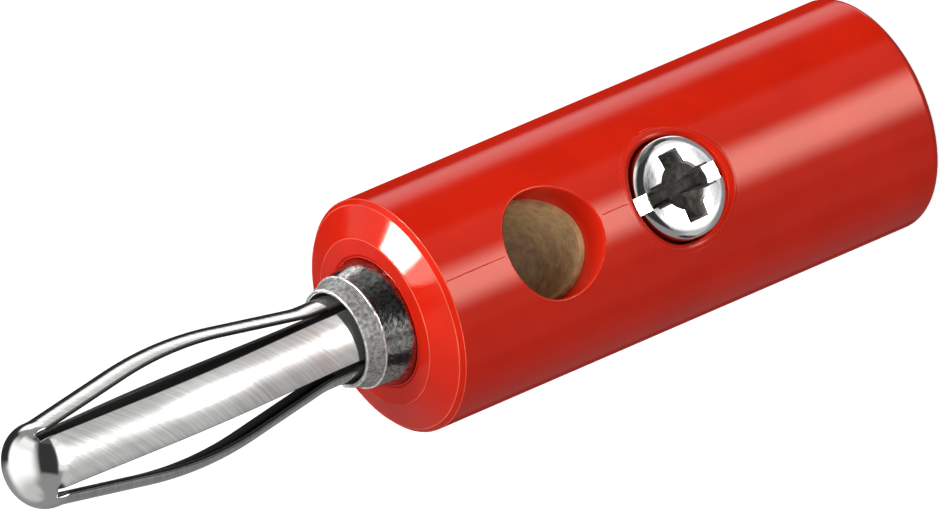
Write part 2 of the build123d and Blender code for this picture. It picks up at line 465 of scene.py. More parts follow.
@dataclass(frozen=True)
class PlatedTurning:
    """Nickel plate on turned brass, rough on the staked nose; inner faces show the bare brass.

    Scales are in cells per millimetre, but turned_scale in cells per metre. Heights along the
    plug are in millimetres and relief_height in metres.
    """

    name: str = "plated_turning"
    plate: Colour = (0.52, 0.52, 0.505)
    worn_plate: Colour = (0.15, 0.15, 0.145)
    brass: Colour = (0.60, 0.41, 0.20)
    dull_brass: Colour = (0.32, 0.21, 0.10)
    plated_from: float = 24.3
    nose_from: float = 26.69
    roughness: float = 0.15
    inner_roughness: float = 0.50
    nose_roughness: float = 0.42
    nose_metal: float = 0.62
    relief_height: float = 0.00003
    pit_scale: float = 6.0
    lump_scale: float = 3.4
    stain_scale: float = 2.2
    turned_scale: Direction = (150.0, 150.0, 26000.0)
    stain_span: Point = (0.3, 0.7)
    wear_span: Point = (0.30, 0.64)
    pit_share: float = 0.35
    lump_share: float = 1.5
    relief_strength: float = 0.4
    nose_blend: float = 0.03

    def build(self) -> bpy.types.Material:
        """Builds the material.

        Returns:
            The finished material.
        """
        material, bench = new_material(self.name)
        place = bench.millimetres()
        height = bench.split(place)["Z"]
        outside = bench.math("GREATER_THAN", height, self.plated_from)
        nose = bench.step(height, self.nose_from, self.nose_blend)
        turned = bench.noise(bench.stretched(self.turned_scale), 1.0, 2.0)
        pits = bench.noise(place, self.pit_scale, 3.0, 0.6)
        lumps = bench.noise(place, self.lump_scale, 2.0, 0.5)
        stains = bench.noise(place, self.stain_scale, 4.0, 0.65)
        brass = bench.ramp(stains, list(zip(self.stain_span, (self.dull_brass, self.brass))))
        plate = bench.ramp(pits, list(zip(self.wear_span, (self.worn_plate, self.plate))))
        colour = bench.blend(outside, brass, plate)
        gloss = bench.between(outside, (0.0, 1.0), (self.inner_roughness, self.roughness))
        gloss = bench.blend(nose, gloss, self.nose_roughness, "FLOAT")
        metal = bench.math("MULTIPLY", outside, bench.between(nose, (0.0, 1.0), (1.0, self.nose_metal)))
        fine, coarse = bench.math("MULTIPLY", pits, self.pit_share), bench.math("MULTIPLY", lumps, self.lump_share)
        grain = bench.math("ADD", fine, coarse)
        bump = bench.bump(bench.blend(outside, turned, grain, "FLOAT"), self.relief_strength, self.relief_height)
        bench.surface({
            "Base Color": colour,
            "Metallic": metal,
            "Specular IOR Level": 0.15,
            "Roughness": gloss,
            "Normal": bump,
        })
        return material


@dataclass(frozen=True)
class PlatedSpring:
    """Nickel plate: polished on the dome, finely brushed on the leaves, with painted shade inside them, along their
    long edges and at their roots by the nose.

    Lengths are in millimetres and angles in degrees, grain_height is in metres.
    """

    polished: Colour = (0.83, 0.82, 0.81)
    brushed: Colour = (0.74, 0.735, 0.72)
    rubbed: Colour = (0.56, 0.555, 0.54)
    # Colour of the painted shade inside the leaves, along their long edges and at their roots.
    dark: Colour = (0.05, 0.05, 0.048)
    polish: float = 0.10
    brushing: float = 0.28
    satin: float = 0.58
    grain_slant: float = 42.0
    dome_from: float = 42.25
    # Painted shade on the leaf roots below this height, its edge tilted across the plug by root_slope.
    root_shade: float = 27.78
    root_slope: float = 0.13
    inner_span: Point = (0.70, 0.92)
    turn: float = -8.0
    edge_line: float = 1.045
    rim_span: Point = (0.44, 0.60)
    grain_stretch: Direction = (0.35, 0.35, 11.0)
    grain_height: float = 0.000012
    wear_span: Point = (0.34, 0.62)
    dome_blend: float = 0.15
    shade_blend: float = 0.03
    edge_blend: float = 0.01
    anisotropy: float = 0.45

    def outer_face(self, bench: NodeBench) -> Socket:
        """How squarely a face looks away from the plug's axis.

        Args:
            bench: The material's bench.

        Returns:
            1 on the outer face, towards 0 on the leaves' sides and below it inside.
        """
        place = bench.stretched((1.0, 1.0, 0.0))
        away = bench.add("ShaderNodeVectorMath", {0: place}, operation="NORMALIZE")
        normal = bench.add("ShaderNodeTexCoord").outputs["Normal"]
        square = bench.add("ShaderNodeVectorMath", {0: normal, 1: away.outputs[0]}, operation="DOT_PRODUCT")
        return square.outputs["Value"]

    def leaf_edge(self, bench: NodeBench, place: Socket) -> Socket:
        """Narrow strips along the leaves' long edges, where painted shade draws dark lines.

        Args:
            bench: The material's bench.
            place: Object coordinates in millimetres.

        Returns:
            1 on the strips, 0 on the leaves' faces.
        """
        own = bench.add("ShaderNodeMapping", {"Vector": place, "Rotation": (0.0, 0.0, math.radians(-self.turn))})
        apart = bench.split(own.outputs["Vector"])
        aside = bench.math("MINIMUM", bench.math("ABSOLUTE", apart["X"]), bench.math("ABSOLUTE", apart["Y"]))
        return bench.step(aside, self.edge_line, self.edge_blend)

    def build(self) -> bpy.types.Material:
        """Builds the material.

        Returns:
            The finished material.
        """
        material, bench = new_material("plated_spring")
        place = bench.millimetres()
        slanted = bench.add("ShaderNodeMapping", {
            "Vector": place, "Rotation": (0.0, math.radians(self.grain_slant), 0.0),
        })
        drawn = bench.add("ShaderNodeMapping", {"Vector": slanted.outputs["Vector"], "Scale": self.grain_stretch})
        grain = bench.noise(drawn.outputs["Vector"], 1.0, 3.0, 0.6)
        apart = bench.split(place)
        height = apart["Z"]
        dome_span = (self.dome_from - self.dome_blend, self.dome_from + self.dome_blend)
        dome = bench.between(height, dome_span, (0.0, 1.0), True)
        below = bench.rest(dome)
        # Painted shade: faces that turn towards the axis, inside the cage, take the dark colour.
        inner = bench.math("MULTIPLY", bench.between(self.outer_face(bench), self.inner_span, (1.0, 0.0), True), below)
        # Painted shade where the leaves run down into the nose's hollow; there the plate is also made non-metal so that
        # it stays dark.
        level = bench.math("SUBTRACT", height, bench.math("MULTIPLY", apart["X"], self.root_slope))
        root = bench.step(level, self.root_shade, self.shade_blend, (1.0, 0.0))
        # Painted shade: dark lines along the leaves' long edges.
        edges = bench.math("MULTIPLY", self.leaf_edge(bench, place), below)
        shade = bench.math("MAXIMUM", bench.math("MAXIMUM", inner, root), edges)
        brushed = bench.ramp(grain, list(zip(self.wear_span, (self.rubbed, self.brushed))))
        plate = bench.blend(dome, brushed, (*self.polished, 1.0))
        colour = bench.blend(shade, plate, (*self.dark, 1.0))
        bump = bench.bump(bench.math("MULTIPLY", grain, below), 0.5, self.grain_height)
        sharp = bench.math("MAXIMUM", dome, bench.between(bench.facing(), self.rim_span, (0.0, 1.0), True))
        metal = bench.math("MULTIPLY", bench.between(sharp, (0.0, 1.0), (self.satin, 1.0)), bench.rest(root))
        radial = bench.add("ShaderNodeTangent", direction_type="RADIAL", axis="Z")
        bench.surface({
            "Base Color": colour,
            "Metallic": metal,
            "Specular IOR Level": 0.1,
            "Roughness": bench.between(sharp, (0.0, 1.0), (self.brushing, self.polish)),
            "Anisotropic": bench.between(sharp, (0.0, 1.0), (self.anisotropy, 0.0)),
            "Anisotropic Rotation": 0.25,
            "Tangent": radial.outputs[0],
            "Normal": bump,
        })
        return material


@dataclass(frozen=True)
class PlatedSteel:
    """Bright plated screw, dull down in the driver's recess, where painted shade darkens its colour.

    Lengths are in millimetres, mark_height is in metres.
    """

    bright: Colour = (0.80, 0.80, 0.80)
    # Darker and lighter colours of the painted shade in the driver's recess.
    dull: Colour = (0.050, 0.046, 0.041)
    rubbed: Colour = (0.15, 0.140, 0.125)
    roughness: float = 0.09
    axis_height: float = 12.62
    recess_radius: float = 1.52
    recess_from: float = -5.11
    dull_roughness: float = 0.5
    mark_scale: float = 2.5
    mark_height: float = 0.00002
    mark_strength: float = 0.35
    # Where the marks carry the painted shade from the darker to the lighter colour.
    recess_shade_span: Point = (0.40, 0.68)
    depth_blend: float = 0.03
    raggedness: float = 0.25
    recess_blend: Point = (0.08, 0.16)

    def build(self) -> bpy.types.Material:
        """Builds the material.

        Returns:
            The finished material.
        """
        material, bench = new_material("plated_steel")
        place = bench.millimetres()
        apart = bench.split(place)
        deep = bench.step(apart["Y"], self.recess_from, self.depth_blend)
        flat = bench.add("ShaderNodeCombineXYZ", {
            "X": apart["X"], "Z": bench.math("SUBTRACT", apart["Z"], self.axis_height),
        })
        reach = bench.add("ShaderNodeVectorMath", {0: flat.outputs[0]}, operation="LENGTH").outputs["Value"]
        marks = bench.noise(place, self.mark_scale, 4.0, 0.65)
        ragged = bench.math("ADD", reach, bench.math("MULTIPLY", marks, self.raggedness))
        near, far = self.recess_blend
        inner = bench.between(ragged, (self.recess_radius + near, self.recess_radius + far), (1.0, 0.0))
        recess = bench.math("MULTIPLY", deep, inner)
        # Painted shade: the recess takes a dark colour, mottled by the marks, in place of the plate.
        recess_shade = bench.ramp(marks, list(zip(self.recess_shade_span, (self.dull, self.rubbed))))
        colour = bench.blend(recess, (*self.bright, 1.0), recess_shade)
        bump = bench.bump(marks, self.mark_strength, self.mark_height)
        gloss = bench.between(recess, (0.0, 1.0), (self.roughness, self.dull_roughness))
        bench.surface({
            "Base Color": colour,
            "Metallic": bench.between(recess, (0.0, 1.0), (1.0, 0.0)),
            "Specular IOR Level": 0.06,
            "Roughness": gloss,
            "Normal": bump,
        })
        return material


def dress_node(node: bpy.types.Object, material: bpy.types.Material) -> None:
    """Gives a carried-over CAD node its finish.

    Args:
        node: The CAD node's object.
        material: The finish.
    """
    for place in node.material_slots:
        place.material = material


def settle(piece: bpy.types.Object, rides: Rides) -> None:
    """Joins a new piece to its body."""
    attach(piece, rides.value)


def ring(radius: float, height: float, count: int = RING_POINTS) -> Chain:
    """A closed ring about the plug's axis.

    Args:
        radius: The ring's radius in millimetres.
        height: Its height in millimetres.
        count: Number of its points.

    Returns:
        Its points with no bend.
    """
    angles = (math.tau * number / count for number in range(count))
    return [(Vector((radius * math.cos(angle), radius * math.sin(angle), height)) * MM, 0.0) for angle in angles]


def bead_rule(name: str) -> GeometryBench:
    """Builds the tree that runs a round bead along each line, of uneven thickness if asked.

    Args:
        name: The tree's name.

    Returns:
        The bench with the finished tree.
    """
    bench = GeometryBench(name)
    radius = bench.named("Bead Radius")
    uneven = bench.named("Unevenness")
    place = bench.add("ShaderNodeVectorMath", {
        0: bench.add("GeometryNodeInputPosition").outputs[0], "Scale": LUMPS_PER_METRE,
    }, operation="SCALE")
    lumps = bench.math("SUBTRACT", bench.noise(place.outputs[0], 1.0, 2.0), 0.5)
    swell = bench.math("ADD", 1.0, bench.math("MULTIPLY", lumps, uneven))
    line = bench.add("GeometryNodeSetCurveRadius", {"Curve": bench.route(), "Radius": swell})
    section = bench.add("GeometryNodeCurvePrimitiveCircle", {"Resolution": BEAD_SIDES, "Radius": radius})
    bead = bench.add("GeometryNodeCurveToMesh", {
        "Curve": line.outputs[0], "Profile Curve": section.outputs["Curve"], "Fill Caps": True, "Scale": swell,
    })
    bench.finish(bead.outputs[0])
    return bench


@dataclass
class MouldLines:
    """Fine raised lines that the mould leaves on the sleeve's edges and along its parting; the edge lines carry a
    lighter red as a painted highlight.

    Lengths are in millimetres. Rings have a radius and a height on the plug's axis, and hole
    rims a radius and the height of the hole's own axis.
    """

    finish: MouldedRed
    # Lighter red on the edge and hole-rim lines: a painted highlight.
    edge_highlight_finish: MouldedRed = MouldedRed("edge_highlight_red", (0.82, 0.16, 0.10), (0.62, 0.05, 0.03))
    bead_radius: float = 0.03
    edge_bead_radius: float = 0.028
    seat_bead_radius: float = 0.055
    bead_sink: float = 0.6
    seat_ring: Point = (2.75, 25.325)
    sleeve_radius: float = 5.0
    parting_aside: float = 0.20
    parting_spans: tuple[Point, ...] = ((24.62, 21.62), (16.60, 15.28))
    rings: tuple[Point, ...] = ((3.55, 25.385), (4.785, 24.84), (4.966, 24.65))
    hole_rims: tuple[Point, ...] = ((2.37, 19.13), (2.70, 12.62))
    ring_points: int = RING_POINTS

    def hole_rim(self, radius: float, height: float) -> Chain:
        """A closed line round a cross hole, on the sleeve's surface.

        Args:
            radius: The line's radius about the hole's axis, in millimetres.
            height: Height of the hole's axis in millimetres.

        Returns:
            Its points with no bend.
        """
        points = []
        skin = self.sleeve_radius - self.edge_bead_radius
        for number in range(self.ring_points):
            angle = math.tau * number / self.ring_points
            side = radius * math.cos(angle)
            depth = math.sqrt(skin**2 - side**2)
            points.append((Vector((side, -depth, height + radius * math.sin(angle))) * MM, 0.0))
        return points

    def build(self) -> None:
        """Makes the edge lines, the flash round the collar and the parting line."""
        depth = math.sqrt(self.sleeve_radius**2 - self.parting_aside**2) - self.bead_sink * self.bead_radius
        partings = [
            [(Vector((self.parting_aside, -depth, height)) * MM, 0.0) for height in span]
            for span in self.parting_spans
        ]
        edges = [ring(radius, height) for radius, height in self.rings]
        edges += [self.hole_rim(radius, height) for radius, height in self.hole_rims]
        bench = bead_rule("mould_line_rule")
        for name, host, bead, finish in (
            ("sleeve_edge_lines", chain_mesh("edge_routes", edges, closed=True),
             self.edge_bead_radius, self.edge_highlight_finish),
            ("collar_seat_ring", chain_mesh("seat_route", [ring(*self.seat_ring)], closed=True),
             self.seat_bead_radius, self.finish),
            ("sleeve_parting_line", chain_mesh("parting_routes", partings), self.bead_radius, self.finish),
        ):
            piece = bench.grow(name, host, {
                "Bead Radius": bead * MM, "Unevenness": 0.0, "Material": finish.build(),
            })
            settle(piece, Rides.PLUG)


@dataclass
class ScrewHoleLip:
    """Full round lip of the screw's hole, which closes in on the head's rim.

    Lengths are in millimetres, seam_gap is in metres.
    """

    outer_radius: float = 2.60
    inner_radius: float = 2.22
    depth: float = 0.85
    rounding: float = 0.34
    proud: float = 0.003
    foot_width: float = 0.18
    edge_depth: float = 0.05
    seam_gap: float = 2e-7
    sleeve_radius: float = 5.0
    axis_height: float = 12.62
    turns: int = 128
    rows: int = 60

    def profile(self) -> bpy.types.Mesh:
        """The lip's section: radius about the hole along X, depth below the sleeve's skin along Z.

        Returns:
            A closed chain of edges.
        """
        corners = (
            (self.outer_radius, -self.proud, 0.0),
            (self.inner_radius, -self.proud, self.rounding),
            (self.inner_radius, self.depth, 0.0),
            (self.inner_radius + self.foot_width, self.depth, 0.0),
            (self.outer_radius, self.edge_depth, 0.0),
        )
        return chain_mesh("lip_profile", [[
            (Vector((radius, 0.0, sink)) * MM, bend * MM) for radius, sink, bend in corners
        ]], closed=True)

    def rule(self) -> GeometryBench:
        """Builds the tree that carries the section round the hole, along the sleeve's curved skin.

        Returns:
            The bench with the finished tree.
        """
        bench = GeometryBench("hole_lip_rule")
        turns, rows = (bench.named(name, "NodeSocketInt") for name in ("Turns", "Rows"))
        sleeve_radius, axis_height = (bench.named(name) for name in ("Sleeve Radius", "Axis Height"))
        sheet, around, radius, sink = bench.sheet(turns, rows)
        aside, rise = (bench.math("MULTIPLY", radius, bench.math(wave, around)) for wave in ("COSINE", "SINE"))
        skin = bench.math("SQRT", bench.math(
            "SUBTRACT", bench.math("POWER", sleeve_radius, 2.0), bench.math("POWER", aside, 2.0)))
        bench.finish_sheet(sheet, {
            "X": aside, "Y": bench.math("SUBTRACT", sink, skin), "Z": bench.math("ADD", axis_height, rise),
        }, self.seam_gap)
        return bench

    def build(self, finish: bpy.types.Material) -> None:
        """Makes the lip.

        Args:
            finish: The sleeve's finish.
        """
        piece = self.rule().grow("screw_hole_lip", self.profile(), {
            "Turns": self.turns,
            "Rows": self.rows,
            "Sleeve Radius": self.sleeve_radius * MM,
            "Axis Height": self.axis_height * MM,
            "Material": finish,
        })
        settle(piece, Rides.PLUG)


@dataclass
class Sleeve:
    """The moulded insulating sleeve, the lip of its screw hole and its mould lines."""

    finish: MouldedRed = field(default_factory=MouldedRed)
    lip: ScrewHoleLip = field(default_factory=ScrewHoleLip)

    def build(self, nodes: Nodes) -> None:
        """Dresses the sleeve and adds its lines.

        Args:
            nodes: CAD nodes by name.
        """
        finish = self.finish.build()
        dress_node(nodes["insulating_sleeve"], finish)
        self.lip.build(finish)
        MouldLines(self.finish).build()
        LOG.info("sleeve dressed")


@dataclass
class ContactInsert:
    """The turned insert with its collar, its staked nose and the burrs along their edges.

    Burrs have a radius and a height in millimetres.
    """

    finish: PlatedTurning = field(default_factory=PlatedTurning)
    burr_finish: PlatedTurning = PlatedTurning("rubbed_plate", (0.86, 0.86, 0.84), (0.42, 0.42, 0.41))
    burrs: tuple[Point, ...] = ((2.075, 27.40), (2.37, 26.66))
    burr_radius: float = 0.05
    unevenness: float = 1.1

    def build(self, nodes: Nodes) -> None:
        """Dresses the insert and adds the burrs.

        Args:
            nodes: CAD nodes by name.
        """
        dress_node(nodes["contact_insert"], self.finish.build())
        host = chain_mesh("burr_routes", [ring(radius, height) for radius, height in self.burrs], closed=True)
        burrs = bead_rule("burr_rule").grow("insert_edge_burrs", host, {
            "Bead Radius": self.burr_radius * MM,
            "Unevenness": self.unevenness,
            "Material": self.burr_finish.build(),
        })
        settle(burrs, Rides.PLUG)
        LOG.info("contact insert dressed")


@dataclass
class SpringCage:
    """The one-piece spring: press-fit ring, four bowed leaves and the domed tip.

    Lengths are in millimetres. The wall is one sheet around the plug's axis. Its profile
    runs from the ring up a leaf and over the dome, and the leaves are what the slits leave.
    seam_gap is in metres.
    """

    finish: PlatedSpring = field(default_factory=PlatedSpring)
    cup_radius: float = 1.79
    wall: float = 0.20
    leaves: int = 4
    slit_width: float = 0.467
    turn: float = -8.0
    foot: float = 22.82
    slit_start: float = 26.52
    bow_start: float = 28.85
    bow_crown: float = 35.40
    bow_end: float = 42.10
    dome_base: float = 42.35
    slit_end: float = 42.75
    bow_lift: float = 0.87
    root_bend: float = 4.0
    crown_bend: float = 16.0
    front_bend: float = 1.8
    shoulder_bend: float = 1.30
    dome_meeting: float = 40.8
    edge_round: float = 0.05
    columns: int = 144
    rows: int = 220
    seam_gap: float = 2e-6
    corner_tries: int = 40

    def crown_corner(self) -> float:
        """Radius of the route's sharp corner whose bend just reaches the bow's crown.

        Returns:
            The corner's radius in millimetres.
        """
        crown = self.cup_radius + self.bow_lift
        corner = crown
        for _ in range(self.corner_tries):
            lift = corner - self.cup_radius
            rise = math.atan(lift / (self.bow_crown - self.bow_start))
            fall = math.atan(lift / (self.bow_end - self.bow_crown))
            corner = crown + self.crown_bend * (1 / math.cos((rise + fall) / 2) - 1)
        return corner

    def dome_points(self, steps: int = 24) -> list[Point]:
        """Points along the dome's two arcs, from its base to its pole.

        Args:
            steps: Points on each arc.

        Returns:
            Radius and height of each point, in millimetres.
        """
        meeting = math.radians(self.dome_meeting)
        shoulder_middle = self.cup_radius - self.shoulder_bend
        crown_middle = self.dome_base - shoulder_middle / math.tan(meeting)
        crown_bend = self.shoulder_bend + shoulder_middle / math.sin(meeting)
        points = []
        for step in range(steps + 1):
            angle = math.pi / 2 + (meeting - math.pi / 2) * step / steps
            points.append((shoulder_middle + self.shoulder_bend * math.sin(angle),
                           self.dome_base + self.shoulder_bend * math.cos(angle)))
        for step in range(1, steps + 1):
            angle = meeting * (1 - step / steps)
            points.append((crown_bend * math.sin(angle), crown_middle + crown_bend * math.cos(angle)))
        return points

    def profile(self) -> bpy.types.Mesh:
        """The wall's outer profile, from the ring's foot to the dome's pole.

        Returns:
            A chain of edges in the XZ plane.
        """
        corners = [
            (self.cup_radius, self.foot, 0.0),
            (self.cup_radius, self.bow_start, self.root_bend),
            (self.crown_corner(), self.bow_crown, self.crown_bend),
            (self.cup_radius, self.bow_end, self.front_bend),
        ]
        corners += [(radius, height, 0.0) for radius, height in self.dome_points()]
        return chain_mesh("cage_profile", [[
            (Vector((radius, 0.0, height)) * MM, bend * MM) for radius, height, bend in corners
        ]])

    def rule(self) -> GeometryBench:
        """Builds the tree that wraps the profile around the axis and cuts the slits.

        Returns:
            The bench with the finished tree.
        """
        bench = GeometryBench("spring_cage_rule")
        columns, rows, leaves = (bench.named(name, "NodeSocketInt") for name in ("Columns", "Rows", "Leaves"))
        cup_radius, slit_width, slit_start, slit_end, turn = (
            bench.named(name) for name in ("Cup Radius", "Slit Width", "Slit Start", "Slit End", "Turn")
        )
        sheet, around, radius, height = bench.sheet(columns, rows)

        pitch = bench.math("DIVIDE", math.tau, leaves)
        middle = bench.math("MULTIPLY", bench.math("ROUND", bench.math("DIVIDE", around, pitch)), pitch)
        aside = bench.math("ABSOLUTE", bench.math("SUBTRACT", around, middle))
        half_slit = bench.math("ARCSINE", bench.math("DIVIDE", bench.math("MULTIPLY", slit_width, 0.5), cup_radius))
        leaf_edge = bench.math("SUBTRACT", bench.math("MULTIPLY", pitch, 0.5), half_slit)
        in_slit = bench.math("GREATER_THAN", aside, leaf_edge)
        above = bench.math("GREATER_THAN", height, slit_start)
        below = bench.math("LESS_THAN", height, slit_end)
        cut = bench.math("MULTIPLY", in_slit, bench.math("MULTIPLY", above, below))
        slit_sheet = bench.add("GeometryNodeDeleteGeometry", {
            "Geometry": sheet, "Selection": cut,
        }, domain="FACE", mode="ALL")

        bow = bench.math("MAXIMUM", bench.math("SUBTRACT", radius, cup_radius), 0.0)
        reach = bench.math("MINIMUM", radius, cup_radius)
        own_angle = bench.math("ADD", around, turn)
        leaf_angle = bench.math("ADD", middle, turn)
        sides = (
            bench.math("ADD",
                       bench.math("MULTIPLY", bow, bench.math(wave, leaf_angle)),
                       bench.math("MULTIPLY", reach, bench.math(wave, own_angle)))
            for wave in ("COSINE", "SINE")
        )
        bench.finish_sheet(slit_sheet.outputs[0], {**dict(zip("XY", sides)), "Z": height}, self.seam_gap)
        return bench

    def build(self, nodes: Nodes) -> None:
        """Grows the spring over its CAD node.

        Args:
            nodes: CAD nodes by name. Not used.
        """
        piece = self.rule().grow("spring_cage_leaves", self.profile(), {
            "Columns": self.columns,
            "Rows": self.rows,
            "Leaves": self.leaves,
            "Cup Radius": self.cup_radius * MM,
            "Slit Width": self.slit_width * MM,
            "Slit Start": self.slit_start * MM,
            "Slit End": self.slit_end * MM,
            "Turn": math.radians(self.turn),
            "Material": self.finish.build(),
        }, solidify=self.wall * MM, bevel=self.edge_round * MM)
        settle(piece, Rides.PLUG)
        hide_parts("spring_cage")
        LOG.info("spring cage grown: %d faces", len(piece.data.polygons))


def arc_through(first: Point, middle: Point, last: Point, steps: int) -> list[Point]:
    """Points along the arc through three points.

    Args:
        first: Where it starts.
        middle: A point that it passes.
        last: Where it ends.
        steps: Number of stretches.

    Returns:
        The points, both ends included.
    """
    (x1, y1), (x2, y2), (x3, y3) = first, middle, last
    turn = 2 * (x1 * (y2 - y3) + x2 * (y3 - y1) + x3 * (y1 - y2))
    squares = [x * x + y * y for x, y in (first, middle, last)]
    centre_x = (squares[0] * (y2 - y3) + squares[1] * (y3 - y1) + squares[2] * (y1 - y2)) / turn
    centre_y = (squares[0] * (x3 - x2) + squares[1] * (x1 - x3) + squares[2] * (x2 - x1)) / turn
    radius = math.hypot(x1 - centre_x, y1 - centre_y)
    start = math.atan2(y1 - centre_y, x1 - centre_x)
    sweep = math.remainder(math.atan2(y3 - centre_y, x3 - centre_x) - start, math.tau)
    return [
        (centre_x + radius * math.cos(start + sweep * step / steps),
         centre_y + radius * math.sin(start + sweep * step / steps))
        for step in range(steps + 1)
    ]


@dataclass
class ClampScrew:
    """The clamp screw: shallow head with a round shoulder, slot, cross recess and thread.

    Lengths are in millimetres. Heights run along the screw, outwards from the plug's axis.
    """

    finish: PlatedSteel = field(default_factory=PlatedSteel)
    axis_height: float = 12.62
    head_turn: float = 2.5
    tip: float = 0.30
    shank_radius: float = 1.50
    tip_bevel: float = 0.35
    underside: float = 3.80
    head_radius: float = 2.15
    rim: float = 4.80
    rim_round: float = 0.07
    top_radius: float = 1.75
    top_edge: float = 5.09
    shoulder_bulge: float = 0.045
    crown: float = 5.27
    slot_width: float = 0.72
    slot_floor: float = 4.62
    recess_span: float = 3.10
    wing_width: float = 1.02
    slot_wing_width: float = 1.00
    recess_floor: float = 4.05
    recess_taper: float = 14.0
    core_radius: float = 1.08
    core_point: float = 0.25
    turns: int = 160
    thread_pitch: float = 0.5
    thread_height: float = 0.11
    thread_sink: float = 0.04
    thread_start: float = 1.2
    thread_points: int = 64
    thread_sides: int = 6
    pole: float = 0.001
    shoulder_inset: float = 0.3
    shoulder_points: int = 14
    crown_fullness: float = 0.75
    crown_points: int = 12
    clearance: float = 0.5
    sharp_angle: float = 28.0

    def seat(self) -> Matrix:
        """Carries the screw's own axes, slot along X and head up, to its place in the plug.

        Returns:
            The transform, from millimetres to metres.
        """
        turn = Matrix.Rotation(math.radians(90), 4, "X") @ Matrix.Rotation(math.radians(90 + self.head_turn), 4, "Z")
        return Matrix.Translation((0.0, 0.0, self.axis_height * MM)) @ turn @ Matrix.Scale(MM, 4)

    def outline(self) -> list[Point]:
        """Radius and height along the screw's half section, from the tip to the crown.

        Returns:
            The section's points.
        """
        slope = math.atan2(self.top_edge - self.rim, self.head_radius - self.top_radius)
        shoulder_foot = (self.head_radius - self.shoulder_inset * self.rim_round, self.rim + self.rim_round)
        bulge = (
            (shoulder_foot[0] + self.top_radius) / 2 + self.shoulder_bulge * math.sin(slope),
            (shoulder_foot[1] + self.top_edge) / 2 + self.shoulder_bulge * math.cos(slope),
        )
        crown = (self.pole, self.crown)
        crown_middle = (self.top_radius / 2, self.top_edge + self.crown_fullness * (self.crown - self.top_edge))
        points = [
            (self.pole, self.tip),
            (self.shank_radius - self.tip_bevel, self.tip),
            (self.shank_radius, self.tip + self.tip_bevel),
            (self.shank_radius, self.underside),
            (self.head_radius - self.rim_round, self.underside),
            (self.head_radius, self.underside + self.rim_round),
            (self.head_radius, self.rim),
        ]
        plateau = (self.top_radius, self.top_edge)
        points += arc_through(shoulder_foot, bulge, plateau, self.shoulder_points)
        points += arc_through(plateau, crown_middle, crown, self.crown_points)[1:]
        return points

    def turned(self, name: str, outline: list[Point]) -> bpy.types.Mesh:
        """Turns a half section into a closed solid about the screw's axis.

        Args:
            name: The mesh's name.
            outline: Radius and height of its points, from one pole to the other.

        Returns:
            The solid's mesh, in millimetres.
        """
        points = [
            (radius * math.cos(math.tau * turn / self.turns), radius * math.sin(math.tau * turn / self.turns), height)
            for radius, height in outline
            for turn in range(self.turns)
        ]
        faces: list[list[int]] = []
        for row in range(len(outline) - 1):
            for turn in range(self.turns):
                after = (turn + 1) % self.turns
                low, high = row * self.turns, (row + 1) * self.turns
                faces.append([low + turn, low + after, high + after, high + turn])
        faces.append(list(range(self.turns))[::-1])
        faces.append(list(range((len(outline) - 1) * self.turns, len(outline) * self.turns)))
        mesh = bpy.data.meshes.new(name)
        mesh.from_pydata(points, [], faces)
        return mesh

    def wedge(self, name: str, span: float, width: float, floor: float, taper: float, turn: float) -> bpy.types.Mesh:
        """A straight-sided block that narrows downwards, to be cut from the head.

        Args:
            name: The mesh's name.
            span: Its length at the crown.
            width: Its width at the crown.
            floor: Height of its lower face.
            taper: Slope of its sides in degrees.
            turn: Turn about the screw's axis in degrees.

        Returns:
            The block's mesh, in millimetres.
        """
        ceiling = self.crown + self.clearance
        slope = math.tan(math.radians(taper))
        spin = Matrix.Rotation(math.radians(turn), 3, "Z")
        points = []
        for height in (floor, ceiling):
            grow = (height - self.crown) * slope
            for side, edge in ((-1, -1), (1, -1), (1, 1), (-1, 1)):
                points.append(spin @ Vector((side * (span / 2 + grow), edge * (width / 2 + grow), height)))
        faces = [(3, 2, 1, 0), (4, 5, 6, 7)]
        faces += [(side, (side + 1) % 4, (side + 1) % 4 + 4, side + 4) for side in range(4)]
        mesh = bpy.data.meshes.new(name)
        mesh.from_pydata(points, [], faces)
        return mesh

    def cutters(self) -> list[bpy.types.Mesh]:
        """The slot, the two wings of the recess and the cone where they meet.

        Returns:
            Their meshes.
        """
        slope = (self.core_radius - self.core_point) / (self.crown - self.recess_floor)
        above = self.crown + self.clearance
        core = self.turned("recess_core", [
            (self.pole, self.recess_floor),
            (self.core_point, self.recess_floor),
            (self.core_radius + self.clearance * slope, above),
            (self.pole, above),
        ])
        return [
            self.wedge("driver_slot", 4 * self.head_radius, self.slot_width, self.slot_floor, 0.0, 0.0),
            self.wedge("wing_along", self.recess_span, self.slot_wing_width, self.recess_floor, self.recess_taper, 0.0),
            self.wedge("wing_across", self.recess_span, self.wing_width, self.recess_floor, self.recess_taper, 90.0),
            core,
        ]

    def cut_screw(self) -> bpy.types.Mesh:
        """Turns the screw and cuts its head.

        Returns:
            The finished mesh, in its place in the plug.
        """
        blank = into_scene("screw_blank", self.turned("clamp_screw_cut", self.outline()))
        tools = [into_scene(mesh.name, mesh) for mesh in self.cutters()]
        for tool in tools:
            cut = blank.modifiers.new(tool.name, "BOOLEAN")
            cut.object = tool
            cut.operation = "DIFFERENCE"
            cut.solver = "EXACT"
        mesh = baked_mesh(blank)
        for spent in (blank, *tools):
            bpy.data.objects.remove(spent)
        mesh.transform(self.seat())
        mesh.polygons.foreach_set("use_smooth", [True] * len(mesh.polygons))
        mesh.set_sharp_from_angle(angle=math.radians(self.sharp_angle))
        return mesh

